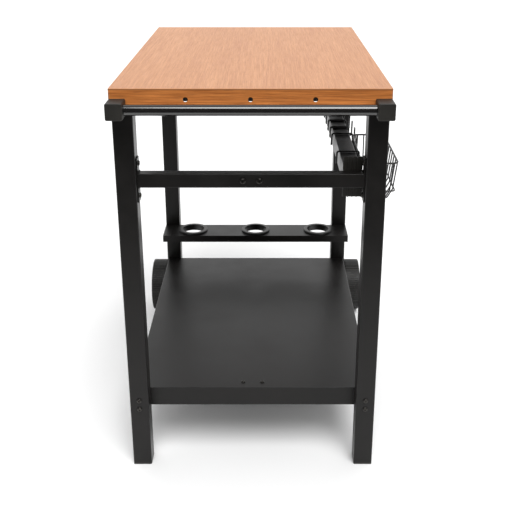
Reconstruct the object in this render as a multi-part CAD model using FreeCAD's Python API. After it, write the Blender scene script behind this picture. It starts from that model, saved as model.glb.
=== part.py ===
import FreeCAD, Part
import math
import os

from FreeCAD import Vector

# A wheeled potting bench, in millimetres. +Z is up, and the origin is on the floor under the middle
# of the top. The handle end is -Y, the wheel end is +Y, and the side with the hanging rail is +X.

# Driving dimensions
TOP_WIDTH, TOP_LENGTH, TOP_HEIGHT = 560.0, 830.0, 885.0
TOP_APRON = 45.0            # how far the folded edge of the top reaches down
SHEET = 1.5                 # sheet steel of the top, the shelf and the rack
LEG, LEG_WALL = 42.0, 1.5   # square tube of the legs
LEG_SPREAD = 552.0          # across the outsides of the legs
WHEEL_RADIUS, WHEEL_WIDTH = 79.0, 44.0
WHEEL_OVERHANG = 45.0       # wheel beyond the top, and handle beyond the top
SHELF_TOP, SHELF_APRON, SHELF_WIDTH = 179.0, 45.0, 544.0
RACK_TOP, RACK_DEPTH, RACK_LIP = 290.0, 88.0, 20.0
RAIL_Z = 691.0              # height of the cross rails and of the hanging rail

# Bought fasteners
M5, M6 = 2.5, 3.0           # shank radii
M6_NUT, M6_NUT_HEIGHT = 10.0, 5.0
THREAD_CLEARANCE = 0.05     # round a shank in the thread that holds it
HOLE_CLEARANCE = 0.25       # round a shank in a plain hole

# Places that follow from the driving dimensions
TOP_Y = TOP_LENGTH / 2
TOP_X = TOP_WIDTH / 2
TOP_UNDERSIDE = TOP_HEIGHT - SHEET
LEG_X = (LEG_SPREAD - LEG) / 2
HANDLE_LEG_Y = -TOP_Y + SHEET + LEG / 2
WHEEL_LEG_Y = TOP_Y + WHEEL_OVERHANG - WHEEL_RADIUS
LEG_INNER_X = LEG_X - LEG / 2
LEG_OUTER_X = LEG_X + LEG / 2
BAY_START = HANDLE_LEG_Y + LEG / 2      # between the legs, from the handle end
BAY_END = WHEEL_LEG_Y - LEG / 2
SIDES = {"left": -1, "right": 1}
END_LEGS = {"handle_end": HANDLE_LEG_Y, "wheel_end": WHEEL_LEG_Y}

AXIS_X, AXIS_Y, AXIS_Z = Vector(1, 0, 0), Vector(0, 1, 0), Vector(0, 0, 1)

nodes = {}


def span(centre, size):
    """The low and high ends of a size about a centre."""
    return centre - size / 2, centre + size / 2


def block(x, y, z):
    """A box from its three (low, high) ranges."""
    return Part.makeBox(x[1] - x[0], y[1] - y[0], z[1] - z[0], Vector(x[0], y[0], z[0]))


def rounded_bar(x, y, z, along, radius):
    """A box with its four edges along one axis (0, 1 or 2) rounded."""
    bar = block(x, y, z)
    edges = [e for e in bar.Edges if abs(e.tangentAt(e.FirstParameter)[along]) > 0.9]
    return bar.makeFillet(radius, edges)


def square_tube(x, y, z, along, wall, radius):
    """A rectangular tube, open at both ends, with rounded long edges."""
    ranges = [x, y, z]
    inner = [r if i == along else (r[0] + wall, r[1] - wall) for i, r in enumerate(ranges)]
    outer = rounded_bar(x, y, z, along, radius)
    return outer.cut(rounded_bar(*inner, along, radius - wall))


def tray(x, y, top, depth, corner):
    """A sheet folded down on four sides, open below."""
    outer = rounded_bar(x, y, (top - depth, top), 2, corner)
    rim = [e for e in outer.Edges if e.BoundBox.ZMin > top - 0.01]
    outer = outer.makeFillet(SHEET, rim)
    inner_x = (x[0] + SHEET, x[1] - SHEET)
    inner_y = (y[0] + SHEET, y[1] - SHEET)
    hollow = rounded_bar(inner_x, inner_y, (top - depth, top - SHEET), 2, corner - SHEET)
    return outer.cut(hollow)


def rod(radius, start, direction, length):
    return Part.makeCylinder(radius, length, start, direction)


def placed(shape, start, direction):
    """A shape drawn along +Z, turned to a direction and moved to its start."""
    shape.Placement = FreeCAD.Placement(start, FreeCAD.Rotation(AXIS_Z, direction))
    return shape


def hexagon(across_flats, height, bottom=0.0):
    corner = across_flats / math.sqrt(3)
    turns = [math.radians(60 * i) for i in range(7)]
    points = [Vector(corner * math.cos(t), corner * math.sin(t), bottom) for t in turns]
    return Part.Face(Part.makePolygon(points)).extrude(Vector(0, 0, height))


def nut(shank_radius, across_flats, height, start, direction):
    """A hex nut whose seat is at the start and whose body goes along the direction."""
    body = hexagon(across_flats, height)
    return placed(body.cut(rod(shank_radius + THREAD_CLEARANCE, Vector(), AXIS_Z, height)),
                  start, direction)


def button_bolt(shank_radius, length, start, direction, head_radius=None):
    """A button-head bolt with a hex socket. The seat of its head is at the start."""
    head_radius = head_radius or 1.85 * shank_radius
    head_height = 1.1 * shank_radius
    head = rod(head_radius, Vector(0, 0, -head_height), AXIS_Z, head_height)
    crown = [e for e in head.Edges if e.BoundBox.ZMax < -head_height + 0.01]
    head = head.makeFillet(0.8 * head_height, crown)
    socket = hexagon(1.3 * shank_radius, 0.6 * head_height, -head_height)
    return placed(head.cut(socket).fuse(rod(shank_radius, Vector(), AXIS_Z, length)),
                  start, direction)


def plain_hole(shank_radius, start, direction, length):
    return rod(shank_radius + HOLE_CLEARANCE, start, direction, length)


def bent_path(points, bends, closed=False):
    """Straight runs joined by tangent arcs, one bend radius for each corner."""
    count = len(points)
    corners = range(count) if closed else range(1, count - 1)
    arcs = {}
    for i, bend in zip(corners, bends):
        corner = points[i]
        back = (points[i - 1] - corner).normalize()
        ahead = (points[(i + 1) % count] - corner).normalize()
        half_turn = (math.pi - back.getAngle(ahead)) / 2
        middle = (back + ahead).normalize()
        reach = bend * math.tan(half_turn)
        crown = corner + middle * (bend / math.cos(half_turn) - bend)
        arcs[i] = (corner + back * reach, crown, corner + ahead * reach)
    edges = []
    last = arcs[count - 1][2] if closed else points[0]
    for i in corners:
        enter, crown, leave = arcs[i]
        edges.append(Part.LineSegment(last, enter).toShape())
        edges.append(Part.Arc(enter, crown, leave).toShape())
        last = leave
    if not closed:
        edges.append(Part.LineSegment(last, points[-1]).toShape())
    return Part.Wire(edges)


def wire_form(points, bends, radius, closed=False):
    """Round wire bent along a path."""
    path = bent_path(points, bends, closed)
    first = path.Edges[0]
    start = first.valueAt(first.FirstParameter)
    section = Part.Circle(start, first.tangentAt(first.FirstParameter), radius)
    return path.makePipeShell([Part.Wire(section.toShape())], True, False)


# ---- Top ---------------------------------------------------------------------------------------
# The top is a folded tray. Its handle-end edge has three hanging holes. Four square rails inside
# the edge carry it, and studs welded under it go through the side rails to nuts.
TOP_CORNER = 4.0
APRON_HOLE_RADIUS, APRON_HOLE_SPACING, APRON_HOLE_DROP = 5.0, 128.0, 22.0
RAIL = 20.0
RAIL_WALL, RAIL_CORNER = 1.2, 2.0
STUD_LENGTH = 28.0
STUD_YS = (-290.0, -6.0, 278.0)
HANDLE_BOLT_Z = 850.0
HANDLE_BOLT_XS = (LEG_X - 1.0, LEG_X + 13.0)

top = tray(span(0, TOP_WIDTH), span(0, TOP_LENGTH), TOP_HEIGHT, TOP_APRON, TOP_CORNER)
hanging_holes = [
    rod(APRON_HOLE_RADIUS, Vector(x, -TOP_Y, TOP_HEIGHT - APRON_HOLE_DROP), AXIS_Y, SHEET)
    for x in (-APRON_HOLE_SPACING, 0, APRON_HOLE_SPACING)
]
bolt_holes = [
    plain_hole(M5, Vector(side * x, -TOP_Y, HANDLE_BOLT_Z), AXIS_Y, SHEET)
    for side in SIDES.values() for x in HANDLE_BOLT_XS
]
nodes["tabletop"] = top.cut(hanging_holes + bolt_holes)

rail_z = (TOP_UNDERSIDE - RAIL, TOP_UNDERSIDE)
for end, y in (("handle_end", span(-TOP_Y + SHEET + RAIL / 2, RAIL)),
               ("wheel_end", span(WHEEL_LEG_Y, RAIL))):
    nodes["top_rail_" + end] = square_tube(
        span(0, 2 * LEG_INNER_X), y, rail_z, 0, RAIL_WALL, RAIL_CORNER)

studs, stud_nuts = [], []
for name, side in SIDES.items():
    rail = square_tube(span(side * LEG_X, RAIL), (BAY_START, BAY_END), rail_z,
                       1, RAIL_WALL, RAIL_CORNER)
    feet = [Vector(side * LEG_X, y, TOP_UNDERSIDE) for y in STUD_YS]
    nodes["top_rail_" + name] = rail.cut([plain_hole(M6, p, -AXIS_Z, RAIL) for p in feet])
    studs += [rod(M6, p, -AXIS_Z, STUD_LENGTH) for p in feet]
    stud_nuts += [nut(M6, M6_NUT, M6_NUT_HEIGHT, p - AXIS_Z * RAIL, -AXIS_Z) for p in feet]
nodes["top_studs"] = Part.makeCompound(studs)
nodes["top_stud_nuts"] = Part.makeCompound(stud_nuts)

# ---- Legs --------------------------------------------------------------------------------------
# The two legs at the handle end stand on plastic feet. The two at the wheel end stop short of the
# floor in plastic caps, and the axle runs through them.
FOOT_FLANGE, PLUG_DEPTH, PLUG_WALL, PLUG_CLEARANCE = 4.0, 18.0, 3.0, 0.2
LEG_CORNER = 3.0
WHEEL_LEG_BOTTOM = 45.0
AXLE_RADIUS = 5.0
SHELF_BOLT_ZS = (149.5, 171.5)
PLATE_BOLT_ZS = (RAIL_Z - 35.0, RAIL_Z + 35.0)
RACK_BOLT_Z = RACK_TOP - 15.0
RACK_BOLT_XS = (LEG_X - 9.0, LEG_X + 9.0)


def leg_plug(x, y, bottom):
    """A flange under the tube's end, and a hollow plug up inside it."""
    flange = rounded_bar(span(x, LEG), span(y, LEG), (bottom, bottom + FOOT_FLANGE), 2, LEG_CORNER)
    width = LEG - 2 * LEG_WALL - 2 * PLUG_CLEARANCE
    height = (bottom + FOOT_FLANGE, bottom + FOOT_FLANGE + PLUG_DEPTH)
    plug = rounded_bar(span(x, width), span(y, width), height, 2, LEG_CORNER / 2)
    hollow = block(span(x, width - 2 * PLUG_WALL), span(y, width - 2 * PLUG_WALL), height)
    return flange.fuse(plug.cut(hollow))


for name, side in SIDES.items():
    x = side * LEG_X
    inner_face = side * LEG_INNER_X
    outward = AXIS_X * side
    front, back = HANDLE_LEG_Y - LEG / 2, WHEEL_LEG_Y - LEG / 2

    leg = square_tube(span(x, LEG), span(HANDLE_LEG_Y, LEG), (FOOT_FLANGE, TOP_UNDERSIDE),
                      2, LEG_WALL, LEG_CORNER)
    holes = [plain_hole(M6, Vector(x, front, z), AXIS_Y, LEG) for z in SHELF_BOLT_ZS]
    holes += [plain_hole(M5, Vector(side * bx, front, HANDLE_BOLT_Z), AXIS_Y, LEG)
              for bx in HANDLE_BOLT_XS]
    holes += [plain_hole(M6, Vector(inner_face, HANDLE_LEG_Y, z), outward, LEG_WALL)
              for z in PLATE_BOLT_ZS]
    nodes["leg_handle_end_" + name] = leg.cut(holes)
    nodes["foot_" + name] = leg_plug(x, HANDLE_LEG_Y, 0.0)

    leg = square_tube(span(x, LEG), span(WHEEL_LEG_Y, LEG), (WHEEL_LEG_BOTTOM, TOP_UNDERSIDE),
                      2, LEG_WALL, LEG_CORNER)
    holes = [plain_hole(M6, Vector(x, back, z), AXIS_Y, LEG) for z in SHELF_BOLT_ZS]
    holes += [plain_hole(M6, Vector(side * bx, back, RACK_BOLT_Z), AXIS_Y, LEG_WALL)
              for bx in RACK_BOLT_XS]
    holes += [plain_hole(M6, Vector(inner_face, WHEEL_LEG_Y, z), outward, LEG_WALL)
              for z in PLATE_BOLT_ZS]
    axle_start = Vector(inner_face, WHEEL_LEG_Y, WHEEL_RADIUS)
    holes.append(rod(AXLE_RADIUS + THREAD_CLEARANCE, axle_start, outward, LEG))
    nodes["leg_wheel_end_" + name] = leg.cut(holes)
    nodes["leg_cap_" + name] = leg_plug(x, WHEEL_LEG_Y, WHEEL_LEG_BOTTOM - FOOT_FLANGE)

# ---- Handle ------------------------------------------------------------------------------------
# A round bar between two moulded blocks. Each block is held by two long bolts through the leg.
BLOCK, BLOCK_CORNER = 34.0, 3.5
BLOCK_Z = 848.0
BAR_RADIUS, BAR_WALL = 11.0, 1.5
BAR_REACH = 25.0            # bar's centre in front of the top's edge
SOCKET_DEPTH, SOCKET_CLEARANCE = 22.0, 0.1
HANDLE_BOLT_LENGTH = 55.0

bar_y = -TOP_Y - BAR_REACH
block_inner_x = TOP_X - BLOCK
bar_end = block_inner_x + SOCKET_DEPTH
handle_bolts = []
for name, side in SIDES.items():
    grip = rounded_bar(span(side * (TOP_X - BLOCK / 2), BLOCK), (-TOP_Y - WHEEL_OVERHANG, -TOP_Y),
                       span(BLOCK_Z, BLOCK), 1, BLOCK_CORNER)
    nose = [e for e in grip.Edges if e.BoundBox.YMax < -TOP_Y - WHEEL_OVERHANG + 0.01]
    grip = grip.makeFillet(BLOCK_CORNER / 2, nose)
    socket = rod(BAR_RADIUS + SOCKET_CLEARANCE, Vector(side * block_inner_x, bar_y, BLOCK_Z),
                 AXIS_X * side, SOCKET_DEPTH)
    starts = [Vector(side * x, HANDLE_LEG_Y + LEG / 2, HANDLE_BOLT_Z) for x in HANDLE_BOLT_XS]
    threads = [rod(M5 + THREAD_CLEARANCE, p, -AXIS_Y, HANDLE_BOLT_LENGTH) for p in starts]
    nodes["handle_block_" + name] = grip.cut([socket] + threads)
    handle_bolts += [button_bolt(M5, HANDLE_BOLT_LENGTH, p, -AXIS_Y) for p in starts]
nodes["handle_bolts"] = Part.makeCompound(handle_bolts)

bar_start = Vector(-bar_end, bar_y, BLOCK_Z)
nodes["handle_bar"] = rod(BAR_RADIUS, bar_start, AXIS_X, 2 * bar_end).cut(
    rod(BAR_RADIUS - BAR_WALL, bar_start, AXIS_X, 2 * bar_end))

# ---- Cross rails -------------------------------------------------------------------------------
# One at each end of the bench. Tall plates on their ends are bolted to nuts welded in the legs.
# The handle-end rail also has a pair of bolts at its middle.
CROSS_DEPTH, CROSS_HEIGHT = 25.0, 30.0
PLATE, PLATE_HEIGHT = 3.0, 94.0
PLATE_BOLT_LENGTH = 12.0
CENTRE_BOLT_X, CENTRE_BOLT_HEAD, CENTRE_BOLT_LENGTH = 17.0, 6.2, 32.0
HANG_X = 210.0              # centre of the hanging rail
BRACKET_SCREWS = ((-4.5, 9.0), (4.5, -9.0))     # (x, z) about the hanging rail's centre
BRACKET_SCREW_LENGTH = 12.0

plate_inner_x = LEG_INNER_X - PLATE
plate_bolts, plate_nuts = [], []
for end, y in END_LEGS.items():
    inward = 1 if end == "handle_end" else -1
    bay_face = y + inward * CROSS_DEPTH / 2
    rail = square_tube(span(0, 2 * plate_inner_x), span(y, CROSS_DEPTH), span(RAIL_Z, CROSS_HEIGHT),
                       0, LEG_WALL, RAIL_CORNER)
    holes = [rod(M5 + THREAD_CLEARANCE, Vector(HANG_X + x, bay_face, RAIL_Z + z),
                 -AXIS_Y * inward, LEG_WALL) for x, z in BRACKET_SCREWS]
    if end == "handle_end":
        holes += [plain_hole(M6, Vector(x, y - CROSS_DEPTH / 2, RAIL_Z), AXIS_Y, CROSS_DEPTH)
                  for x in (-CENTRE_BOLT_X, CENTRE_BOLT_X)]
    nodes["cross_rail_" + end] = rail.cut(holes)

    plates = []
    for side in SIDES.values():
        outward = AXIS_X * side
        plate = block(span(side * (plate_inner_x + PLATE / 2), PLATE), span(y, CROSS_DEPTH),
                      span(RAIL_Z, PLATE_HEIGHT))
        seats = [Vector(side * plate_inner_x, y, z) for z in PLATE_BOLT_ZS]
        plates.append(plate.cut([plain_hole(M6, p, outward, PLATE) for p in seats]))
        plate_bolts += [button_bolt(M6, PLATE_BOLT_LENGTH, p, outward) for p in seats]
        plate_nuts += [nut(M6, M6_NUT, M6_NUT_HEIGHT, p + outward * (PLATE + LEG_WALL), outward)
                       for p in seats]
    nodes["cross_rail_plates_" + end] = Part.makeCompound(plates)
nodes["cross_rail_bolts"] = Part.makeCompound(plate_bolts)
nodes["cross_rail_weld_nuts"] = Part.makeCompound(plate_nuts)

centre_seats = [Vector(x, HANDLE_LEG_Y - CROSS_DEPTH / 2, RAIL_Z)
                for x in (-CENTRE_BOLT_X, CENTRE_BOLT_X)]
nodes["centre_bolts"] = Part.makeCompound(
    [button_bolt(M6, CENTRE_BOLT_LENGTH, p, AXIS_Y, CENTRE_BOLT_HEAD) for p in centre_seats])
nodes["centre_bolt_nuts"] = Part.makeCompound(
    [nut(M6, M6_NUT, M6_NUT_HEIGHT, p + AXIS_Y * CROSS_DEPTH, AXIS_Y) for p in centre_seats])

# ---- Hanging rail ------------------------------------------------------------------------------
# A beam along the bench, inside the right-hand legs. A ribbed bracket plugs into each of its ends
# and is screwed to the cross rail behind it.
HANG_WIDTH, HANG_HEIGHT = 36.0, 40.0
BRACKET_WIDTH, BRACKET_HEIGHT = 40.0, 87.0
BRACKET_PLATE, RIB_DEPTH, RIB_WIDTH, RIB_PITCH = 3.0, 3.0, 2.0, 9.0
BOSS_LENGTH, BOSS_WALL, BOSS_CLEARANCE = 20.0, 3.0, 0.2
LOCK_SCREW_LENGTH = 8.0

hang_start = HANDLE_LEG_Y + CROSS_DEPTH / 2 + RIB_DEPTH + BRACKET_PLATE
hang_end = WHEEL_LEG_Y - CROSS_DEPTH / 2 - RIB_DEPTH - BRACKET_PLATE
hang_bottom = RAIL_Z - HANG_HEIGHT / 2
hang_top = RAIL_Z + HANG_HEIGHT / 2
beam = square_tube(span(HANG_X, HANG_WIDTH), (hang_start, hang_end), (hang_bottom, hang_top),
                   1, LEG_WALL, RAIL_CORNER)
bracket_screws, lock_screws = [], []
for end, start, inward in (("handle_end", hang_start, 1), ("wheel_end", hang_end, -1)):
    plate_y = sorted((start, start - inward * BRACKET_PLATE))
    rib_y = sorted((start - inward * BRACKET_PLATE, start - inward * (BRACKET_PLATE + RIB_DEPTH)))
    boss_y = sorted((start, start + inward * BOSS_LENGTH))
    bracket = block(span(HANG_X, BRACKET_WIDTH), plate_y, span(RAIL_Z, BRACKET_HEIGHT))
    ribs = [block(span(HANG_X + i * RIB_PITCH, RIB_WIDTH), rib_y, span(RAIL_Z, BRACKET_HEIGHT))
            for i in range(-2, 3)]
    boss_width = HANG_WIDTH - 2 * LEG_WALL - 2 * BOSS_CLEARANCE
    boss_height = HANG_HEIGHT - 2 * LEG_WALL - 2 * BOSS_CLEARANCE
    boss = block(span(HANG_X, boss_width), boss_y, span(RAIL_Z, boss_height)).cut(
        block(span(HANG_X, boss_width - 2 * BOSS_WALL), boss_y,
              span(RAIL_Z, boss_height - 2 * BOSS_WALL)))
    bracket = bracket.fuse(ribs + [boss])

    seats = [Vector(HANG_X + x, start, RAIL_Z + z) for x, z in BRACKET_SCREWS]
    lock_seat = Vector(HANG_X, start + inward * BOSS_LENGTH / 2, hang_bottom)
    holes = [plain_hole(M5, p, -AXIS_Y * inward, BRACKET_PLATE) for p in seats]
    holes.append(rod(M5 + THREAD_CLEARANCE, lock_seat, AXIS_Z, LOCK_SCREW_LENGTH))
    nodes["hanging_rail_bracket_" + end] = bracket.cut(holes)
    bracket_screws += [button_bolt(M5, BRACKET_SCREW_LENGTH, p, -AXIS_Y * inward, 4.0)
                       for p in seats]
    lock_screws.append(button_bolt(M5, LOCK_SCREW_LENGTH, lock_seat, AXIS_Z))
    beam = beam.cut(plain_hole(M5, lock_seat, AXIS_Z, LEG_WALL))
nodes["hanging_rail"] = beam
nodes["bracket_screws"] = Part.makeCompound(bracket_screws)
nodes["hanging_rail_screws"] = Part.makeCompound(lock_screws)

# ---- Basket ------------------------------------------------------------------------------------
# A tapering basket outside the rail, whose sides bend in below a low shoulder. Two wires over the
# rail carry its rim, and it lifts off.
WIRE = 2.0                  # radius of the rim's and the hooks' wire
HOOK_GAP = 0.4              # between the rail and a wire that hangs on it
WIRE_Z = hang_top + HOOK_GAP + WIRE
RIM_Z = 706.0
RIM_X, RIM_Y = (235.0, 312.0), (-332.0, -104.0)     # centre line of the rim
RIM_CORNER = 14.0
BASKET_FLOOR, BASKET_WALL = 618.0, 2.5
FLOOR_X, FLOOR_Y = (241.0, 294.0), (-320.0, -116.0)
SHOULDER_Z, SHOULDER_X, SHOULDER_Y = 643.0, (238.5, 305.0), (-327.0, -109.0)
BASKET_HOOK_YS = (-268.0, -122.0)
HOOK_TIP_X, HOOK_TIP_Z = 185.5, 686.0


def rounded_outline(x, y, z, corner):
    points = [Vector(x[0], y[0], z), Vector(x[1], y[0], z),
              Vector(x[1], y[1], z), Vector(x[0], y[1], z)]
    return bent_path(points, [corner] * 4, closed=True)


def shrunk(limits, by):
    return limits[0] + by, limits[1] - by


def basket_body(grown, floor_z):
    """The basket's outline raised from its floor to the rim, with its sides moved outwards."""
    levels = ((FLOOR_X, FLOOR_Y, floor_z), (SHOULDER_X, SHOULDER_Y, SHOULDER_Z),
              (RIM_X, RIM_Y, RIM_Z - WIRE))
    outlines = [rounded_outline(shrunk(x, -grown), shrunk(y, -grown), z, RIM_CORNER + grown)
                for x, y, z in levels]
    return Part.makeLoft(outlines, True, True)


outside = basket_body(BASKET_WALL / 2, BASKET_FLOOR)
inside = basket_body(-BASKET_WALL / 2, BASKET_FLOOR + BASKET_WALL)
nodes["basket"] = outside.cut(inside)
rim_points = [Vector(RIM_X[0], RIM_Y[0], RIM_Z), Vector(RIM_X[1], RIM_Y[0], RIM_Z),
              Vector(RIM_X[1], RIM_Y[1], RIM_Z), Vector(RIM_X[0], RIM_Y[1], RIM_Z)]
nodes["basket_rim"] = wire_form(rim_points, [RIM_CORNER] * 4, WIRE, closed=True)
nodes["basket_hooks"] = Part.makeCompound([
    wire_form([Vector(RIM_X[0], y, RIM_Z + WIRE), Vector(RIM_X[0], y, WIRE_Z),
               Vector(HOOK_TIP_X + 1, y, WIRE_Z), Vector(HOOK_TIP_X, y, HOOK_TIP_Z)],
              [4.0, 4.0], WIRE)
    for y in BASKET_HOOK_YS
])

# ---- Tool hooks --------------------------------------------------------------------------------
# Four hooks sit over the rail and slide along it. Each is one wire doubled into a hairpin, whose
# round end is the prong that a tool hangs on.
TOOL_HOOK_YS = (-60.0, 5.0, 70.0, 135.0)
TOOL_WIRE = 1.5             # radius
HAIRPIN_WIDTH, HAIRPIN_BEND = 9.0, 4.0
TOOL_WIRE_Z = hang_top + HOOK_GAP + TOOL_WIRE
TOOL_HOOK = ((186.5, 688.0), (187.5, TOOL_WIRE_Z), (231.5, TOOL_WIRE_Z), (233.0, 676.0),
             (243.0, 657.0), (253.0, 657.0), (254.0, 694.0))
TOOL_HOOK_BENDS = [4.0, 4.0, 10.0, 4.0, 4.0]

hairpin_bends = TOOL_HOOK_BENDS + [HAIRPIN_BEND] * 2 + TOOL_HOOK_BENDS[::-1]
for number, y in enumerate(TOOL_HOOK_YS, 1):
    down, back = span(y, HAIRPIN_WIDTH)
    hairpin = [Vector(x, down, z) for x, z in TOOL_HOOK]
    hairpin += [Vector(x, back, z) for x, z in reversed(TOOL_HOOK)]
    nodes[f"tool_hook_{number}"] = wire_form(hairpin, hairpin_bends, TOOL_WIRE)

# ---- Bottle rack -------------------------------------------------------------------------------
# A folded strip across the wheel-end legs, with a moulded ring in each of its three holes. Its back
# edge is deep only at the legs, where it is bolted.
RING_SPACING = 188.0
RING_OUTER, RING_BORE, RING_NECK = 42.25, 32.0, 37.8
RING_RAISED, RING_HEIGHT = 6.0, 18.0
RACK_BACK_FLANGE, RACK_BACK_EDGE = 30.0, 8.0    # depth at the legs, and between them
RACK_TAB_INSET = 6.0        # how far the deep part reaches inside the legs
RACK_BOLT_LENGTH = 14.0

rack_y = (BAY_END - RACK_DEPTH, BAY_END)
ring_y = sum(rack_y) / 2
rack = block(span(0, LEG_SPREAD), rack_y, (RACK_TOP - RACK_BACK_FLANGE, RACK_TOP))
under = block(span(0, LEG_SPREAD), (rack_y[0] + SHEET, rack_y[1] - SHEET),
              (RACK_TOP - RACK_BACK_FLANGE, RACK_TOP - SHEET))
short_lip = block(span(0, LEG_SPREAD), (rack_y[0], rack_y[0] + SHEET),
                  (RACK_TOP - RACK_BACK_FLANGE, RACK_TOP - RACK_LIP))
between_tabs = block(span(0, 2 * (LEG_INNER_X - RACK_TAB_INSET)), (BAY_END - SHEET, BAY_END),
                     (RACK_TOP - RACK_BACK_FLANGE, RACK_TOP - RACK_BACK_EDGE))
ring_holes = [rod(RING_NECK + HOLE_CLEARANCE, Vector(x, ring_y, RACK_TOP - SHEET), AXIS_Z, SHEET)
              for x in (-RING_SPACING, 0, RING_SPACING)]
rack_seats = [Vector(side * x, BAY_END - SHEET, RACK_BOLT_Z)
              for side in SIDES.values() for x in RACK_BOLT_XS]
rack_holes = [plain_hole(M6, p, AXIS_Y, SHEET) for p in rack_seats]
nodes["bottle_rack"] = rack.cut([under, short_lip, between_tabs] + ring_holes + rack_holes)
nodes["rack_bolts"] = Part.makeCompound(
    [button_bolt(M6, RACK_BOLT_LENGTH, p, AXIS_Y) for p in rack_seats])
nodes["rack_weld_nuts"] = Part.makeCompound(
    [nut(M6, M6_NUT, M6_NUT_HEIGHT, p + AXIS_Y * (SHEET + LEG_WALL), AXIS_Y) for p in rack_seats])

for name, x in (("left", -RING_SPACING), ("middle", 0.0), ("right", RING_SPACING)):
    collar = rod(RING_OUTER, Vector(x, ring_y, RACK_TOP), AXIS_Z, RING_RAISED)
    brim = [e for e in collar.Edges if e.BoundBox.ZMin > RACK_TOP + RING_RAISED - 0.01]
    collar = collar.makeFillet(2.5, brim)
    neck = rod(RING_NECK, Vector(x, ring_y, RACK_TOP + RING_RAISED - RING_HEIGHT), AXIS_Z,
               RING_HEIGHT - RING_RAISED)
    bore = rod(RING_BORE, Vector(x, ring_y, RACK_TOP + RING_RAISED - RING_HEIGHT), AXIS_Z,
               RING_HEIGHT)
    nodes["rack_ring_" + name] = collar.fuse(neck).cut(bore)

# ---- Lower shelf -------------------------------------------------------------------------------
# A folded tray between the legs, held by bolts through them, with a channel under its middle.
CHANNEL_WIDTH, CHANNEL_DEPTH, CHANNEL_GAP = 70.0, 25.0, 6.0
SHELF_SCREW_X, SHELF_SCREW_INSET = 22.0, 24.0
SHELF_BOLT_LENGTH = 52.0
SHELF_SCREW_LENGTH = 10.0
M5_NUT, M5_NUT_HEIGHT = 8.0, 4.0

shelf = tray(span(0, SHELF_WIDTH), (BAY_START, BAY_END), SHELF_TOP, SHELF_APRON, TOP_CORNER)
screw_seats = [Vector(x, BAY_START + SHELF_SCREW_INSET, SHELF_TOP)
               for x in (-SHELF_SCREW_X, SHELF_SCREW_X)]
shelf_holes = [plain_hole(M5, p, -AXIS_Z, SHEET) for p in screw_seats]
shelf_bolts, shelf_nuts = [], []
for inward, face in ((1, HANDLE_LEG_Y - LEG / 2), (-1, WHEEL_LEG_Y + LEG / 2)):
    direction = AXIS_Y * inward
    seats = [Vector(side * LEG_X, face, z) for side in SIDES.values() for z in SHELF_BOLT_ZS]
    shelf_holes += [plain_hole(M6, p, direction, LEG + SHEET) for p in seats]
    shelf_bolts += [button_bolt(M6, SHELF_BOLT_LENGTH, p, direction) for p in seats]
    shelf_nuts += [nut(M6, M6_NUT, M6_NUT_HEIGHT, p + direction * (LEG + SHEET), direction)
                   for p in seats]
nodes["lower_shelf"] = shelf.cut(shelf_holes)
nodes["shelf_bolts"] = Part.makeCompound(shelf_bolts)
nodes["shelf_bolt_nuts"] = Part.makeCompound(shelf_nuts)

channel_y = (BAY_START + SHEET + CHANNEL_GAP, BAY_END - SHEET - CHANNEL_GAP)
channel_top = SHELF_TOP - SHEET
channel = block(span(0, CHANNEL_WIDTH), channel_y, (channel_top - CHANNEL_DEPTH, channel_top))
trough = block(span(0, CHANNEL_WIDTH - 2 * SHEET), channel_y,
               (channel_top - CHANNEL_DEPTH, channel_top - SHEET))
channel_holes = [plain_hole(M5, p - AXIS_Z * SHEET, -AXIS_Z, SHEET) for p in screw_seats]
nodes["shelf_channel"] = channel.cut([trough] + channel_holes)
nodes["shelf_screws"] = Part.makeCompound(
    [button_bolt(M5, SHELF_SCREW_LENGTH, p, -AXIS_Z) for p in screw_seats])
nodes["shelf_screw_nuts"] = Part.makeCompound(
    [nut(M5, M5_NUT, M5_NUT_HEIGHT, p - AXIS_Z * 2 * SHEET, -AXIS_Z) for p in screw_seats])

# ---- Axle and wheels ---------------------------------------------------------------------------
# One axle through both legs. Each moulded wheel turns on it between two washers, and a cap pushed
# into its hub covers the nut.
AXLE_END = 322.0
WASHER, WASHER_RADIUS = 2.5, 11.0
WHEEL_GAP = 0.5             # between a wheel's hub and the washers
HUB_RADIUS, HUB_LENGTH = 19.0, 33.0
WHEEL_RUNNING = 0.06        # radial clearance on the axle
RIM_BAND, WEB, SPOKE, SPOKES, SPOKE_WIDTH = 8.0, 5.0, 6.0, 8, 22.0
GROOVES, GROOVE_DEPTH, GROOVE_WIDTH = 72, 2.0, 3.2
CAP_RADIUS, CAP_WALL, CAP_CLEARANCE = 14.5, 2.0, 0.1
CAP_LENGTH, CAP_SEAT = 16.0, 3.5
AXLE_NUT, AXLE_NUT_HEIGHT = 15.0, 6.0

axle_centre = Vector(0, WHEEL_LEG_Y, WHEEL_RADIUS)
nodes["axle"] = rod(AXLE_RADIUS, axle_centre - AXIS_X * AXLE_END, AXIS_X, 2 * AXLE_END)

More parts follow.
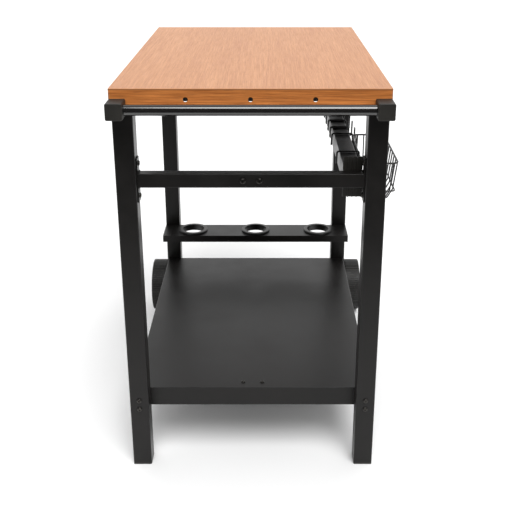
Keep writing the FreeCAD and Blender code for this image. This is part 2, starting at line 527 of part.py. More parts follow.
hub_start = LEG_OUTER_X + WASHER + WHEEL_GAP
hub_end = hub_start + HUB_LENGTH
washers, axle_nuts = [], []
for name, side in SIDES.items():
    outward = AXIS_X * side

    def along(distance):
        return axle_centre + outward * distance

    band = rod(WHEEL_RADIUS, along(hub_start), outward, WHEEL_WIDTH)
    shoulders = [e for e in band.Edges if isinstance(e.Curve, Part.Circle)]
    band = band.makeFillet(2.0, shoulders)
    band = band.cut(rod(WHEEL_RADIUS - RIM_BAND, along(hub_start), outward, WHEEL_WIDTH))
    middle = hub_start + WHEEL_WIDTH / 2
    web = rod(WHEEL_RADIUS - RIM_BAND + 1, along(middle - WEB / 2), outward, WEB)
    hub = rod(HUB_RADIUS, along(hub_start), outward, HUB_LENGTH)
    spoke_x = sorted((side * (middle - SPOKE_WIDTH / 2), side * (middle + SPOKE_WIDTH / 2)))
    spokes = []
    for i in range(SPOKES):
        spoke = block(spoke_x, span(WHEEL_LEG_Y, SPOKE),
                      (WHEEL_RADIUS + HUB_RADIUS - 1, 2 * WHEEL_RADIUS - RIM_BAND + 1))
        spoke.rotate(axle_centre, AXIS_X, 360 / SPOKES * (i + 0.5))
        spokes.append(spoke)
    wheel = band.fuse([web, hub] + spokes)

    groove_x = sorted((side * hub_start, side * (hub_start + WHEEL_WIDTH)))
    grooves = []
    for i in range(GROOVES):
        groove = block(groove_x, span(WHEEL_LEG_Y, GROOVE_WIDTH),
                       (2 * WHEEL_RADIUS - GROOVE_DEPTH, 2 * WHEEL_RADIUS + 1))
        groove.rotate(axle_centre, AXIS_X, 360 / GROOVES * (i + 0.5))
        grooves.append(groove)
    bore = rod(AXLE_RADIUS + WHEEL_RUNNING, along(hub_start), outward, HUB_LENGTH)
    pocket = rod(CAP_RADIUS + CAP_CLEARANCE, along(hub_end - CAP_SEAT), outward, CAP_SEAT)
    nodes["wheel_" + name] = wheel.cut(grooves + [bore, pocket])

    seat = hub_end - CAP_SEAT
    cap = rod(CAP_RADIUS, along(seat), outward, CAP_LENGTH)
    dome = [e for e in cap.Edges
            if isinstance(e.Curve, Part.Circle) and e.BoundBox.Center.x * side > seat + 1]
    cap = cap.makeFillet(3.0, dome)
    hollow = rod(CAP_RADIUS - CAP_WALL, along(seat), outward, CAP_LENGTH - CAP_WALL)
    nodes["wheel_cap_" + name] = cap.cut(hollow)

    ring = rod(WASHER_RADIUS, along(LEG_OUTER_X), outward, WASHER)
    outer_ring = rod(WASHER_RADIUS, along(seat + WHEEL_GAP), outward, WASHER)
    shaft = rod(AXLE_RADIUS + THREAD_CLEARANCE, along(LEG_OUTER_X), outward, 60.0)
    washers += [ring.cut(shaft), outer_ring.cut(shaft)]
    axle_nuts.append(nut(AXLE_RADIUS, AXLE_NUT, AXLE_NUT_HEIGHT,
                         along(seat + WHEEL_GAP + WASHER), outward))
nodes["axle_washers"] = Part.makeCompound(washers)
nodes["axle_nuts"] = Part.makeCompound(axle_nuts)

os.makedirs("parts", exist_ok=True)
for name, shape in nodes.items():
    shape.exportStep(f"parts/{name}.step")
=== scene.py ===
# A wheeled potting bench, in metres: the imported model's pieces get their finishes here, and the
# pieces that only a mesh can show, the wire basket and the weld beads, are built round them.
import bpy
import math
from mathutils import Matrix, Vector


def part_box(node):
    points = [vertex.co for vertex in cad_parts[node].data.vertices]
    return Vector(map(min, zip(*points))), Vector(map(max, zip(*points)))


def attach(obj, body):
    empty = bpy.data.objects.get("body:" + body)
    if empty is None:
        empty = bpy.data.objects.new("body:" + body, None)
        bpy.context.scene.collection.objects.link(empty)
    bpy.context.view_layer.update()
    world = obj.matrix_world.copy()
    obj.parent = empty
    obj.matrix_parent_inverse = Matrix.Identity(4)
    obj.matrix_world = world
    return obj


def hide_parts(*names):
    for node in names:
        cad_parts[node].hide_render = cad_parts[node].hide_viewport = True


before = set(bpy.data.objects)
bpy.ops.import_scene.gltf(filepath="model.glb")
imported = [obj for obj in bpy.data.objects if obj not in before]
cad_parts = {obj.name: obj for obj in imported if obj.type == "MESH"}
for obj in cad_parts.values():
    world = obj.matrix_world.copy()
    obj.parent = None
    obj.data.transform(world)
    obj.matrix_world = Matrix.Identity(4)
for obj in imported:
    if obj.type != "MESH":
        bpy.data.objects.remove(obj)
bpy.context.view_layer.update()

# ---- Folded top --------------------------------------------------------------------------------
# Sheet steel folded down on four sides, faced with a printed wood-grain film. The grain runs along
# the top and the long sides, and along the short sides once it is folded over them.
# The film is matt with a fine emboss, so it shows broad streaks, thin fibres and short pores.
FACE_DARK, FACE_MIDDLE, FACE_LIGHT = "#b97848", "#c38452", "#cf905e"
# The edge colours are the film's tone as it looks in shade, so the edge is painted shade.
SHADED_EDGE_DARK, SHADED_EDGE_LIGHT = "#a96029", "#e48f49"
# The crease colour is a painted shade line along the fold.
PORE_COLOUR, CREASE_SHADE_COLOUR, PRIMER_COLOUR = "#8a5430", "#5b3315", "#1b1a19"
PORE_STRENGTH, CREASE_SHADE_STRENGTH = 0.45, 0.6
SKIN_DEPTH = 0.0008         # a point this near an outer side counts as on it
TURN_TOP, TURN_END = 0.0005, 0.0035     # how far down the fold the face's tone turns to the edge's
GRAIN_DRIFT = 0.012         # how far the fibres wander sideways


def linear(hex_colour):
    """An sRGB hex colour as a linear RGBA value."""
    channels = [int(hex_colour[i:i + 2], 16) / 255 for i in (1, 3, 5)]
    curve = [c / 12.92 if c <= 0.04045 else ((c + 0.055) / 1.055) ** 2.4 for c in channels]
    return (*curve, 1.0)


def add(tree, kind, inputs=None, **settings):
    """Adds a node. An input is set to a value, or linked when it is given a socket."""
    made = tree.nodes.new(kind)
    for name, value in settings.items():
        setattr(made, name, value)
    for socket, value in (inputs or {}).items():
        if isinstance(value, bpy.types.NodeSocket):
            tree.links.new(value, made.inputs[socket])
        else:
            made.inputs[socket].default_value = value
    return made


def new_material(name):
    """An empty material with its shader joined to its output."""
    material = bpy.data.materials.new(name)
    material.use_nodes = True
    tree = material.node_tree
    tree.nodes.clear()
    shader = add(tree, "ShaderNodeBsdfPrincipled")
    add(tree, "ShaderNodeOutputMaterial", {"Surface": shader.outputs[0]})
    return material, tree, shader


def finish_nodes(material, *nodes):
    """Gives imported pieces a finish."""
    for name in nodes:
        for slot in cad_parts[name].material_slots:
            slot.material = material


def slope(tree, value, low, high, to_low=0.0, to_high=1.0):
    """A value stretched from one range to another, clamped."""
    return add(tree, "ShaderNodeMapRange", {
        "Value": value, "From Min": low, "From Max": high,
        "To Min": to_low, "To Max": to_high}).outputs[0]


def wood_grain_film():
    material, tree, shader = new_material("wood_grain_film_on_steel")
    place = add(tree, "ShaderNodeSeparateXYZ", {
        0: add(tree, "ShaderNodeTexCoord").outputs["Object"]})
    x, y, z = place.outputs
    top_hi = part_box("tabletop")[1]

    # The short sides take their grain along x, everything else along y.
    on_end = add(tree, "ShaderNodeMath", {
        0: add(tree, "ShaderNodeMath", {0: y}, operation="ABSOLUTE").outputs[0],
        1: top_hi[1] - SKIN_DEPTH}, operation="GREATER_THAN").outputs[0]
    flat_across = add(tree, "ShaderNodeMath", {0: x, 1: z}, operation="ADD").outputs[0]
    across = add(tree, "ShaderNodeMix", {"Factor": on_end, "A": flat_across, "B": z}).outputs[0]
    along = add(tree, "ShaderNodeMix", {"Factor": on_end, "A": y, "B": x}).outputs[0]
    grain = add(tree, "ShaderNodeCombineXYZ", {0: across, 1: along}).outputs[0]

    # A slow drift bends the fibres a little, as it does in a real board.
    drift = add(tree, "ShaderNodeTexNoise", {
        "Vector": add(tree, "ShaderNodeMapping", {
            "Vector": grain, "Scale": (9, 1.6, 1)}).outputs[0],
        "Scale": 1.0, "Detail": 2.0}).outputs[0]
    bend = add(tree, "ShaderNodeMath", {0: drift, 1: GRAIN_DRIFT}, operation="MULTIPLY").outputs[0]
    bent = add(tree, "ShaderNodeVectorMath", {
        0: grain, 1: add(tree, "ShaderNodeCombineXYZ", {0: bend}).outputs[0]}).outputs[0]

    def streak(width_mm, length_mm, detail):
        """Streaks of about this width and length, along the grain."""
        stretched = add(tree, "ShaderNodeMapping", {
            "Vector": bent, "Scale": (1000 / width_mm, 1000 / length_mm, 1)}).outputs[0]
        return add(tree, "ShaderNodeTexNoise", {
            "Vector": stretched, "Scale": 1.0, "Detail": detail,
            "Roughness": 0.6}).outputs[0]

    boards = streak(80, 1200, 1)
    streaks = streak(4.5, 240, 3)
    fibres = streak(1.8, 80, 3)
    pores = slope(tree, streak(1.2, 26, 2), 0.58, 0.68)

    face = add(tree, "ShaderNodeValToRGB", {"Fac": add(tree, "ShaderNodeMix", {
        "Factor": 0.25, "A": streaks, "B": boards}).outputs[0]})
    ramp = face.color_ramp
    ramp.elements[0].position, ramp.elements[0].color = 0.32, linear(FACE_DARK)
    ramp.elements[1].position, ramp.elements[1].color = 0.68, linear(FACE_LIGHT)
    ramp.elements.new(0.5).color = linear(FACE_MIDDLE)
    edge = add(tree, "ShaderNodeValToRGB", {"Fac": streak(3.5, 120, 4)})
    ramp = edge.color_ramp
    ramp.elements[0].position, ramp.elements[0].color = 0.34, linear(SHADED_EDGE_DARK)
    ramp.elements[1].position, ramp.elements[1].color = 0.66, linear(SHADED_EDGE_LIGHT)

    # The folded edge takes a deeper, more saturated tone than the top: painted shade, as the edge
    # gets less light.
    folded = slope(tree, z, top_hi[2] - TURN_END, top_hi[2] - TURN_TOP, 1.0, 0.0)
    tone = add(tree, "ShaderNodeMix", {
        "Factor": folded, "A": face.outputs[0], "B": edge.outputs[0]},
        data_type="RGBA")
    fibre_shade = slope(tree, fibres, 0.35, 0.65, 0.89, 1.05)
    shaded = add(tree, "ShaderNodeVectorMath", {
        0: tone.outputs["Result"], "Scale": fibre_shade}, operation="SCALE").outputs[0]
    pored = add(tree, "ShaderNodeMix", {
        "Factor": add(tree, "ShaderNodeMath", {
            0: pores, 1: PORE_STRENGTH}, operation="MULTIPLY").outputs[0],
        "A": shaded, "B": linear(PORE_COLOUR)}, data_type="RGBA").outputs["Result"]

    # Painted shade: a thin darker line along the fold, just below the top's arris, where the fold
    # shades itself.
    above = slope(tree, z, top_hi[2] - 0.0036, top_hi[2] - 0.0022)
    below = slope(tree, z, top_hi[2] - 0.0014, top_hi[2] - TURN_TOP, 1.0, 0.0)
    crease_shade = add(tree, "ShaderNodeMath", {0: above, 1: below}, operation="MULTIPLY").outputs[0]
    crease_shaded = add(tree, "ShaderNodeMix", {
        "Factor": add(tree, "ShaderNodeMath", {
            0: crease_shade, 1: CREASE_SHADE_STRENGTH}, operation="MULTIPLY").outputs[0],
        "A": pored, "B": linear(CREASE_SHADE_COLOUR)}, data_type="RGBA").outputs["Result"]

    # The underside, within the fold, only has the frame's black primer.
    inside = add(tree, "ShaderNodeMath", {
        0: add(tree, "ShaderNodeMath", {
            0: add(tree, "ShaderNodeMath", {0: x}, operation="ABSOLUTE").outputs[0],
            1: top_hi[0] - SKIN_DEPTH}, operation="LESS_THAN").outputs[0],
        1: add(tree, "ShaderNodeMath", {
            0: add(tree, "ShaderNodeMath", {0: y}, operation="ABSOLUTE").outputs[0],
            1: top_hi[1] - SKIN_DEPTH}, operation="LESS_THAN").outputs[0]},
        operation="MULTIPLY").outputs[0]
    under = add(tree, "ShaderNodeMath", {
        0: inside,
        1: add(tree, "ShaderNodeMath", {0: z, 1: top_hi[2] - 0.0012},
               operation="LESS_THAN").outputs[0]}, operation="MULTIPLY").outputs[0]
    colour = add(tree, "ShaderNodeMix", {
        "Factor": under, "A": crease_shaded, "B": linear(PRIMER_COLOUR)},
        data_type="RGBA").outputs["Result"]
    tree.links.new(colour, shader.inputs["Base Color"])

    tree.links.new(slope(tree, fibres, 0.3, 0.7, 0.50, 0.38), shader.inputs["Roughness"])
    relief = add(tree, "ShaderNodeMath", {0: fibres, 1: pores}, operation="SUBTRACT").outputs[0]
    tree.links.new(add(tree, "ShaderNodeBump", {
        "Height": relief, "Strength": 0.25, "Distance": 0.0003}).outputs[0],
        shader.inputs["Normal"])
    shader.inputs["IOR"].default_value = 1.5
    return material


finish_nodes(wood_grain_film(), "tabletop")

# ---- Welded steel frame ------------------------------------------------------------------------
# Square tube and folded sheet, blasted and powder coated satin black. The coat flows as it bakes,
# so it has a shallow orange peel a few millimetres across over a finer grain. Its reflection is
# weaker than a smooth paint's, so its IOR is below the usual 1.5.
POWDER_COATED = (
    "leg_handle_end_left", "leg_handle_end_right", "leg_wheel_end_left", "leg_wheel_end_right",
    "top_rail_handle_end", "top_rail_wheel_end", "top_rail_left", "top_rail_right",
    "cross_rail_handle_end", "cross_rail_wheel_end",
    "cross_rail_plates_handle_end", "cross_rail_plates_wheel_end",
    "hanging_rail", "bottle_rack", "lower_shelf", "shelf_channel",
)
PEEL_MM, GRAIN_MM, HANDLING_MM = 2.5, 0.7, 120


def powder_coat():
    material, tree, shader = new_material("powder_coated_steel_satin_black")
    place = add(tree, "ShaderNodeTexCoord").outputs["Object"]
    peel = add(tree, "ShaderNodeTexNoise", {
        "Vector": place, "Scale": 1000 / PEEL_MM, "Detail": 2.0}).outputs[0]
    grain = add(tree, "ShaderNodeTexNoise", {
        "Vector": place, "Scale": 1000 / GRAIN_MM, "Detail": 1.0}).outputs[0]
    handling = add(tree, "ShaderNodeTexNoise", {
        "Vector": place, "Scale": 1000 / HANDLING_MM, "Detail": 5.0, "Roughness": 0.65}).outputs[0]
    tone = add(tree, "ShaderNodeValToRGB", {"Fac": handling})
    ramp = tone.color_ramp
    ramp.elements[0].position, ramp.elements[0].color = 0.35, linear("#121110")
    ramp.elements[1].position, ramp.elements[1].color = 0.70, linear("#1b1918")
    tree.links.new(tone.outputs[0], shader.inputs["Base Color"])
    tree.links.new(slope(tree, handling, 0.3, 0.7, 0.30, 0.42), shader.inputs["Roughness"])
    height = add(tree, "ShaderNodeMath", {
        0: peel, 1: add(tree, "ShaderNodeMath", {0: grain, 1: 0.35},
                        operation="MULTIPLY").outputs[0]}, operation="ADD").outputs[0]
    tree.links.new(add(tree, "ShaderNodeBump", {
        "Height": height, "Strength": 0.18, "Distance": 0.0004}).outputs[0],
        shader.inputs["Normal"])
    shader.inputs["IOR"].default_value = 1.35
    return material


black_powder_coat = powder_coat()
finish_nodes(black_powder_coat, *POWDER_COATED)

# ---- Weld beads --------------------------------------------------------------------------------
# The end plates are welded to the cross rails, and the top rails to the legs. Each bead is a row
# of overlapping ripples, one for each pulse of the torch, coated with the frame.
BEAD_RADIUS = 0.0022
RIPPLE_PITCH = 0.0016
RIPPLE_SIZES = (0.88, 1.08)     # the smallest and largest ripple, as a share of the bead


def new_tree(name, inputs):
    """A Geometry Nodes tree with named inputs, as (name, socket kind, value)."""
    tree = bpy.data.node_groups.new(name, "GeometryNodeTree")
    tree.interface.new_socket("Geometry", in_out="INPUT", socket_type="NodeSocketGeometry")
    for label, kind, value in inputs:
        socket = tree.interface.new_socket(label, in_out="INPUT", socket_type=kind)
        if value is not None:
            socket.default_value = value
    tree.interface.new_socket("Geometry", in_out="OUTPUT", socket_type="NodeSocketGeometry")
    return tree, add(tree, "NodeGroupInput").outputs


def grown(name, lines, tree, values, body):
    """Runs a tree on a set of lines, keeps the result as a plain mesh, and rides it on a body."""
    mesh = bpy.data.meshes.new(name)
    points, edges = [], []
    for line, closed in lines:
        first = len(points)
        points += line
        edges += [(first + i, first + i + 1) for i in range(len(line) - 1)]
        if closed:
            edges.append((first + len(line) - 1, first))
    mesh.from_pydata(points, edges, [])
    piece = bpy.data.objects.new(name, mesh)
    bpy.context.scene.collection.objects.link(piece)
    modifier = piece.modifiers.new(name, "NODES")
    modifier.node_group = tree
    for socket in tree.interface.items_tree:
        if socket.in_out == "INPUT" and socket.name in values:
            modifier[socket.identifier] = values[socket.name]
    graph = bpy.context.evaluated_depsgraph_get()
    made = bpy.data.meshes.new_from_object(piece.evaluated_get(graph))
    piece.modifiers.clear()
    piece.data = made
    made.name = name
    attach(piece, body)
    return piece


def weld_tree():
    tree, given = new_tree("weld_ripples", [
        ("Bead radius", "NodeSocketFloat", BEAD_RADIUS),
        ("Ripple pitch", "NodeSocketFloat", RIPPLE_PITCH),
        ("Coat", "NodeSocketMaterial", None)])
    path = add(tree, "GeometryNodeMeshToCurve", {"Mesh": given["Geometry"]}).outputs[0]
    stations = add(tree, "GeometryNodeCurveToPoints", {
        "Curve": path, "Length": given["Ripple pitch"]}, mode="LENGTH")
    ripple = add(tree, "GeometryNodeMeshUVSphere", {
        "Segments": 10, "Rings": 6, "Radius": given["Bead radius"]}).outputs["Mesh"]
    size = add(tree, "FunctionNodeRandomValue", {
        2: RIPPLE_SIZES[0], 3: RIPPLE_SIZES[1], "Seed": 4}, data_type="FLOAT").outputs[1]
    placed = add(tree, "GeometryNodeInstanceOnPoints", {
        "Points": stations.outputs["Points"], "Instance": ripple,
        "Rotation": stations.outputs["Rotation"], "Scale": size}).outputs[0]
    solid = add(tree, "GeometryNodeRealizeInstances", {"Geometry": placed}).outputs[0]
    smooth = add(tree, "GeometryNodeSetShadeSmooth", {"Geometry": solid}).outputs[0]
    coated = add(tree, "GeometryNodeSetMaterial", {
        "Geometry": smooth, "Material": given["Coat"]}).outputs[0]
    add(tree, "NodeGroupOutput", {"Geometry": coated})
    return tree


weld_lines = []
for end in ("handle_end", "wheel_end"):
    rail_lo, rail_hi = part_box("cross_rail_" + end)
    for x in (rail_lo[0], rail_hi[0]):
        for z in (rail_lo[2], rail_hi[2]):
            weld_lines.append(([(x, rail_lo[1] + BEAD_RADIUS, z), (x, rail_hi[1] - BEAD_RADIUS, z)],
                               False))
for side in ("left", "right"):
    rail_lo, rail_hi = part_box("top_rail_" + side)
    for y in (rail_lo[1], rail_hi[1]):
        weld_lines.append(([(rail_lo[0] + BEAD_RADIUS, y, rail_lo[2]),
                            (rail_hi[0] - BEAD_RADIUS, y, rail_lo[2])], False))
for end in ("handle_end", "wheel_end"):
    rail_lo, rail_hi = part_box("top_rail_" + end)
    for x in (rail_lo[0], rail_hi[0]):
        weld_lines.append(([(x, rail_lo[1] + BEAD_RADIUS, rail_lo[2]),
                            (x, rail_hi[1] - BEAD_RADIUS, rail_lo[2])], False))
grown("weld_beads", weld_lines, weld_tree(), {"Coat": black_powder_coat},
      "frame")

# ---- Push bar ----------------------------------------------------------------------------------
# Drawn steel tube with a gloss black enamel, wiped but not polished. It mirrors the lamp above it
# as one thin bright line and the floor as a grey band, and faint draw lines run along the tube.
# Its IOR is above the usual 1.5, so that the line shows against the black.
DRAW_LINE_MM, DRAW_LENGTH_MM, WIPE_MM = 1.5, 60, 35


def gloss_enamel():
    material, tree, shader = new_material("gloss_black_enamel_on_tube")
    place = add(tree, "ShaderNodeTexCoord").outputs["Object"]
    drawn = add(tree, "ShaderNodeTexNoise", {
        "Vector": add(tree, "ShaderNodeMapping", {
            "Vector": place,
            "Scale": (1000 / DRAW_LENGTH_MM, 1000 / DRAW_LINE_MM, 1000 / DRAW_LINE_MM)}).outputs[0],
        "Scale": 1.0, "Detail": 2.0}).outputs[0]
    wiped = add(tree, "ShaderNodeTexNoise", {
        "Vector": place, "Scale": 1000 / WIPE_MM, "Detail": 4.0}).outputs[0]
    tree.links.new(slope(tree, wiped, 0.35, 0.7, 0.05, 0.12), shader.inputs["Roughness"])
    tree.links.new(add(tree, "ShaderNodeBump", {
        "Height": drawn, "Strength": 0.05, "Distance": 0.0002}).outputs[0],
        shader.inputs["Normal"])
    tone = add(tree, "ShaderNodeValToRGB", {"Fac": wiped})
    tone.color_ramp.elements[0].color = linear("#0e0d0d")
    tone.color_ramp.elements[1].color = linear("#181614")
    tree.links.new(tone.outputs[0], shader.inputs["Base Color"])
    shader.inputs["IOR"].default_value = 1.8
    return material


finish_nodes(gloss_enamel(), "handle_bar")

# ---- Mouldings ---------------------------------------------------------------------------------
# Handle blocks, feet, caps and rail brackets are moulded in black polypropylene, and the rack's
# rings in a darker, glossier elastomer that grips a bottle. The moulds are spark eroded, which
# leaves a fine even pebble that scatters the light.
MOULDED = (
    "handle_block_left", "handle_block_right", "foot_left", "foot_right",
    "leg_cap_left", "leg_cap_right", "hanging_rail_bracket_handle_end",
    "hanging_rail_bracket_wheel_end",
)
FLOW_MM = 45                # the size of the faint clouds where the plastic flowed and met


def moulded_plastic(name, dark, light, smooth, rough, pebble_mm):
    """Black plastic with an eroded mould's texture."""
    material, tree, shader = new_material(name)
    place = add(tree, "ShaderNodeTexCoord").outputs["Object"]
    pebble = add(tree, "ShaderNodeTexVoronoi", {
        "Vector": place, "Scale": 1000 / pebble_mm}, feature="SMOOTH_F1").outputs["Distance"]
    flow = add(tree, "ShaderNodeTexNoise", {
        "Vector": place, "Scale": 1000 / FLOW_MM, "Detail": 4.0}).outputs[0]
    tone = add(tree, "ShaderNodeValToRGB", {"Fac": flow})
    ramp = tone.color_ramp
    ramp.elements[0].position, ramp.elements[0].color = 0.3, linear(dark)
    ramp.elements[1].position, ramp.elements[1].color = 0.75, linear(light)
    tree.links.new(tone.outputs[0], shader.inputs["Base Color"])
    tree.links.new(slope(tree, flow, 0.3, 0.7, smooth, rough), shader.inputs["Roughness"])
    tree.links.new(add(tree, "ShaderNodeBump", {
        "Height": pebble, "Strength": 0.3, "Distance": 0.0003}).outputs[0],
        shader.inputs["Normal"])
    shader.inputs["IOR"].default_value = 1.49
    return material


finish_nodes(moulded_plastic("moulded_polypropylene_black", "#1f1e1b", "#2b2925", 0.46, 0.6, 0.9),
             *MOULDED)
finish_nodes(moulded_plastic("moulded_elastomer_ring", "#111110", "#1b1a19", 0.30, 0.42, 0.6),
             "rack_ring_left", "rack_ring_middle", "rack_ring_right")

# ---- Fasteners ---------------------------------------------------------------------------------
# Button-head bolts, screws and nuts in black-oxide steel. The oxide is a thin skin on the metal,
# so it stays metallic and dark, with its tone and gloss varying in small random clouds.
BLACK_FASTENERS = (
    "top_studs", "top_stud_nuts", "handle_bolts", "cross_rail_bolts", "cross_rail_weld_nuts",
    "centre_bolts", "centre_bolt_nuts", "bracket_screws", "hanging_rail_screws", "rack_bolts",
    "rack_weld_nuts", "shelf_bolts", "shelf_bolt_nuts", "shelf_screws", "shelf_screw_nuts",
    "axle_nuts",
)


def metal_skin(name, dark, light, smooth, rough, grain_mm):
    """A plated or oxidised steel surface."""
    material, tree, shader = new_material(name)
    place = add(tree, "ShaderNodeTexCoord").outputs["Object"]
    cloud = add(tree, "ShaderNodeTexNoise", {
        "Vector": place, "Scale": 1000 / grain_mm, "Detail": 5.0, "Roughness": 0.6}).outputs[0]
    tone = add(tree, "ShaderNodeValToRGB", {"Fac": cloud})
    ramp = tone.color_ramp
    ramp.elements[0].position, ramp.elements[0].color = 0.35, linear(dark)
    ramp.elements[1].position, ramp.elements[1].color = 0.7, linear(light)
    tree.links.new(tone.outputs[0], shader.inputs["Base Color"])
    tree.links.new(slope(tree, cloud, 0.3, 0.7, smooth, rough), shader.inputs["Roughness"])
    tree.links.new(add(tree, "ShaderNodeBump", {
        "Height": cloud, "Strength": 0.1, "Distance": 0.0001}).outputs[0],
        shader.inputs["Normal"])
    shader.inputs["Metallic"].default_value = 1.0
    return material


finish_nodes(metal_skin("black_oxide_steel", "#33312f", "#5a5855", 0.24, 0.38, 4), *BLACK_FASTENERS)
finish_nodes(metal_skin("zinc_plated_steel", "#a9adb0", "#c6c8c6", 0.26, 0.4, 9),
             "axle", "axle_washers")

# ---- Wheels ------------------------------------------------------------------------------------
# Moulded in one piece from black polyethylene, ribbed across the tread, with a cap in each hub.
# The tread picks up a little pale dust in its grooves from the ground.
GROOVE_FLOOR, GROOVE_TOP = 0.0022, 0.0008       # depths below the tread's crown
BAND_INNER, BAND_OUTER = 0.0040, 0.0026         # where the tread ends inwards
DUST_COLOUR, DUST_STRENGTH, DUST_SPECK_MM = "#6b675f", 0.35, 3


def wheel_plastic():
    material = moulded_plastic("moulded_polyethylene_wheel", "#181817", "#242322", 0.42, 0.58, 1.2)
    tree = material.node_tree
    shader = next(n for n in tree.nodes if n.type == "BSDF_PRINCIPLED")
    clean = shader.inputs["Base Color"].links[0].from_socket
    wheel_lo, wheel_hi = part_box("wheel_left")
    radius = (wheel_hi[2] - wheel_lo[2]) / 2
    place = add(tree, "ShaderNodeSeparateXYZ", {
        0: add(tree, "ShaderNodeTexCoord").outputs["Object"]})
    out_y = add(tree, "ShaderNodeMath", {
        0: place.outputs[1], 1: (wheel_lo[1] + wheel_hi[1]) / 2}, operation="SUBTRACT").outputs[0]
    out_z = add(tree, "ShaderNodeMath", {
        0: place.outputs[2], 1: radius}, operation="SUBTRACT").outputs[0]
    reach = add(tree, "ShaderNodeVectorMath", {
        0: add(tree, "ShaderNodeCombineXYZ", {0: out_y, 1: out_z}).outputs[0]},
        operation="LENGTH").outputs["Value"]
    groove = slope(tree, reach, radius - GROOVE_FLOOR, radius - GROOVE_TOP, 1.0, 0.0)
    on_tread = slope(tree, reach, radius - BAND_INNER, radius - BAND_OUTER)
    speckle = slope(tree, add(tree, "ShaderNodeTexNoise", {
        "Vector": add(tree, "ShaderNodeTexCoord").outputs["Object"],
        "Scale": 1000 / DUST_SPECK_MM, "Detail": 4.0}).outputs[0], 0.42, 0.62)
    dust = add(tree, "ShaderNodeMath", {
        0: add(tree, "ShaderNodeMath", {0: groove, 1: on_tread}, operation="MULTIPLY").outputs[0],
        1: add(tree, "ShaderNodeMath", {
            0: speckle, 1: DUST_STRENGTH}, operation="MULTIPLY").outputs[0]},
        operation="MULTIPLY").outputs[0]
    dusty = add(tree, "ShaderNodeMix", {
        "Factor": dust, "A": clean, "B": linear(DUST_COLOUR)}, data_type="RGBA").outputs["Result"]
    tree.links.new(dusty, shader.inputs["Base Color"])
    return material


finish_nodes(wheel_plastic(), "wheel_left", "wheel_right", "wheel_cap_left", "wheel_cap_right")

# ---- Wire basket -------------------------------------------------------------------------------
# Steel wire bent and spot welded, then dipped in black: hoops across it, runs along it and one
# ring low on its sides, all hung from the rim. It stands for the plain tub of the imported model.
WIRE_RADIUS = 0.0015
BASKET_HOOPS, BASKET_RUNS = 9, 4
BEND_RADIUS = 0.008
SHOULDER_Z = 0.643          # where the sides bend in, and the low ring runs
# How far the basket draws in from its rim, on the rail's side, at its ends and on the outer side.
SHOULDER_INSETS = (0.0035, 0.005, 0.007)
FLOOR_INSETS = (0.006, 0.012, 0.018)


def dipped_wire():
    material, tree, shader = new_material("dipped_steel_wire_black")
    place = add(tree, "ShaderNodeTexCoord").outputs["Object"]
    runs = add(tree, "ShaderNodeTexNoise", {
        "Vector": place, "Scale": 1000 / 6, "Detail": 3.0}).outputs[0]
    tone = add(tree, "ShaderNodeValToRGB", {"Fac": runs})
    tone.color_ramp.elements[0].color = linear("#131312")
    tone.color_ramp.elements[1].color = linear("#242322")
    tree.links.new(tone.outputs[0], shader.inputs["Base Color"])
    tree.links.new(slope(tree, runs, 0.3, 0.7, 0.28, 0.42), shader.inputs["Roughness"])
    tree.links.new(add(tree, "ShaderNodeBump", {
        "Height": runs, "Strength": 0.2, "Distance": 0.0003}).outputs[0],
        shader.inputs["Normal"])
    shader.inputs["IOR"].default_value = 1.5
    return material


def wire_tree():
    tree, given = new_tree("bent_wire", [
        ("Wire radius", "NodeSocketFloat", WIRE_RADIUS),
        ("Bend radius", "NodeSocketFloat", BEND_RADIUS),
        ("Coat", "NodeSocketMaterial", None)])
    path = add(tree, "GeometryNodeMeshToCurve", {"Mesh": given["Geometry"]}).outputs[0]
    bent = add(tree, "GeometryNodeFilletCurve", {
        "Curve": path, "Radius": given["Bend radius"], "Count": 5}, mode="POLY").outputs[0]
    section = add(tree, "GeometryNodeCurvePrimitiveCircle", {
        "Resolution": 10, "Radius": given["Wire radius"]}).outputs[0]
    wire = add(tree, "GeometryNodeCurveToMesh", {
        "Curve": bent, "Profile Curve": section, "Fill Caps": True}).outputs[0]
    smooth = add(tree, "GeometryNodeSetShadeSmooth", {"Geometry": wire}).outputs[0]
    solid = add(tree, "GeometryNodeRealizeInstances", {"Geometry": smooth}).outputs[0]
    coated = add(tree, "GeometryNodeSetMaterial", {
        "Geometry": solid, "Material": given["Coat"]}).outputs[0]
    add(tree, "NodeGroupOutput", {"Geometry": coated})
    return tree


def between(low, high, share):
    """The point that is this share of the way from low to high."""
    return low + (high - low) * share


basket_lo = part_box("basket")[0]
rim_lo, rim_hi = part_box("basket_rim")
rim_wire = (rim_hi[2] - rim_lo[2]) / 2
rim_z = rim_hi[2] - rim_wire
floor_z = basket_lo[2] + WIRE_RADIUS
rim_low = [rim_lo[i] + rim_wire for i in (0, 1)]
rim_high = [rim_hi[i] - rim_wire for i in (0, 1)]


def inset(rail_side, ends, outer_side, z):
    """The basket's rectangle drawn in from the rim's, at a height."""
    return ((rim_low[0] + rail_side, rim_low[1] + ends),
            (rim_high[0] - outer_side, rim_high[1] - ends), z)


levels = (inset(0, 0, 0, rim_z), inset(*SHOULDER_INSETS, SHOULDER_Z),
          inset(*FLOOR_INSETS, floor_z))
wires = []
for i in range(BASKET_HOOPS):
    share = (i + 0.5) / BASKET_HOOPS
    inner = [(low[0], between(low[1], high[1], share), z) for low, high, z in levels]
    outer = [(high[0], between(low[1], high[1], share), z) for low, high, z in levels]
    wires.append((inner + outer[::-1], False))
for i in range(BASKET_RUNS):
    share = (i + 0.5) / BASKET_RUNS
    lifted = [(low, high, z + (2 * WIRE_RADIUS if z == floor_z else 0)) for low, high, z in levels]
    near = [(between(low[0], high[0], share), low[1], z) for low, high, z in lifted]
    far = [(between(low[0], high[0], share), high[1], z) for low, high, z in lifted]
    wires.append((near + far[::-1], False))
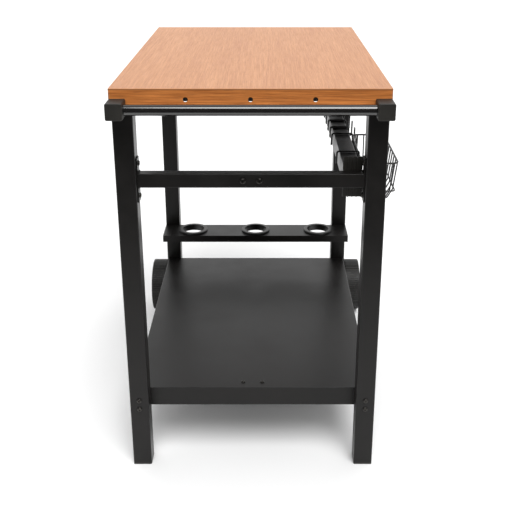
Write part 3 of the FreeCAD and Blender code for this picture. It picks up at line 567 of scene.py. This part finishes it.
# The low ring is welded round the outside of the hoops, at the shoulder.
(x_low, y_low), (x_high, y_high), ring_z = inset(
    *[side - 2 * WIRE_RADIUS for side in SHOULDER_INSETS], SHOULDER_Z)
wires.append(([(x_low, y_low, ring_z), (x_high, y_low, ring_z),
               (x_high, y_high, ring_z), (x_low, y_high, ring_z)], True))

black_wire = dipped_wire()
basket_wires = grown("basket_wires", wires, wire_tree(), {"Coat": black_wire},
                     "hanging_basket")
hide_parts("basket")
finish_nodes(black_wire, "basket_rim", "basket_hooks",
             "tool_hook_1", "tool_hook_2", "tool_hook_3", "tool_hook_4")

# ---- Studio ------------------------------------------------------------------------------------
# A pale paper floor, a white room, a broad soft lamp high in front and a weaker fill lower down.
# The floor ends 1.5 m in front of the bench's middle, and the white room takes over with no line.
FLOOR_X, FLOOR_Y = (-8.0, 8.0), (-1.5, 14.0)
ROOM_DIM, ROOM_BRIGHT = 0.08, 1.20      # its light on the camera's side, and beyond the bench
LAMP_ENERGY, LAMP_SPREAD, LAMP_TILT, LAMP_LEAN = 2.25, 38, 27, 10
FILL_ENERGY, FILL_SPREAD, FILL_TILT = 1.0, 60, 58

floor_mesh = bpy.data.meshes.new("studio_floor")
floor_mesh.from_pydata([(FLOOR_X[0], FLOOR_Y[0], 0), (FLOOR_X[1], FLOOR_Y[0], 0),
                        (FLOOR_X[1], FLOOR_Y[1], 0), (FLOOR_X[0], FLOOR_Y[1], 0)],
                       [], [(0, 1, 2, 3)])
floor = bpy.data.objects.new("studio_floor", floor_mesh)
bpy.context.scene.collection.objects.link(floor)
paper, _, paper_shader = new_material("studio_paper")
paper_shader.inputs["Base Color"].default_value = linear("#fafafa")
paper_shader.inputs["Roughness"].default_value = 0.9
floor_mesh.materials.append(paper)

# The room is bright beyond the bench and overhead, and dim on the camera's side, so the flat faces
# towards the camera stay dark and the ones seen edge on shine. The camera itself sees it white.
world = bpy.data.worlds.new("studio_room")
world.use_nodes = True
room = world.node_tree
room.nodes.clear()
toward = add(room, "ShaderNodeSeparateXYZ", {
    0: add(room, "ShaderNodeTexCoord").outputs["Generated"]}).outputs
wall_light = slope(room, toward[1], -0.5, 0.7, ROOM_DIM, ROOM_BRIGHT)
seen = add(room, "ShaderNodeLightPath").outputs["Is Camera Ray"]
strength = add(room, "ShaderNodeMix", {"Factor": seen, "A": wall_light, "B": 1.0}).outputs[0]
walls = add(room, "ShaderNodeBackground", {"Color": (1, 1, 1, 1), "Strength": strength})
add(room, "ShaderNodeOutputWorld", {"Surface": walls.outputs[0]})
bpy.context.scene.world = world

overhead = bpy.data.lights.new("overhead_softbox", "SUN")
overhead.energy = LAMP_ENERGY
overhead.angle = math.radians(LAMP_SPREAD)
lamp = bpy.data.objects.new("overhead_softbox", overhead)
lamp.rotation_euler = (math.radians(LAMP_TILT), math.radians(LAMP_LEAN), 0)
bpy.context.scene.collection.objects.link(lamp)

# The fill lifts the folded edges and the shadow, and is kept out of the bar's reflections.
fill = bpy.data.lights.new("front_fill", "SUN")
fill.energy = FILL_ENERGY
fill.angle = math.radians(FILL_SPREAD)
fill_lamp = bpy.data.objects.new("front_fill", fill)
fill_lamp.rotation_euler = (math.radians(FILL_TILT), 0, 0)
fill_lamp.visible_glossy = False
bpy.context.scene.collection.objects.link(fill_lamp)

# The camera stands at the handle end, above the bench, and looks down its length.
CAMERA_PLACE, CAMERA_PITCH = (0.0285, -2.003, 1.2316), 20.1
SENSOR_MM, LENS_MM, LENS_SHIFT = 36.0, 56.0, -0.12

camera_data = bpy.data.cameras.new("camera")
camera_data.sensor_width = SENSOR_MM
camera_data.lens = LENS_MM
camera_data.shift_y = LENS_SHIFT
camera = bpy.data.objects.new("camera", camera_data)
camera.location = CAMERA_PLACE
camera.rotation_euler = (math.radians(90 - CAMERA_PITCH), 0, 0)
bpy.context.scene.collection.objects.link(camera)
bpy.context.scene.camera = camera
bpy.context.scene.view_settings.view_transform = "Standard"
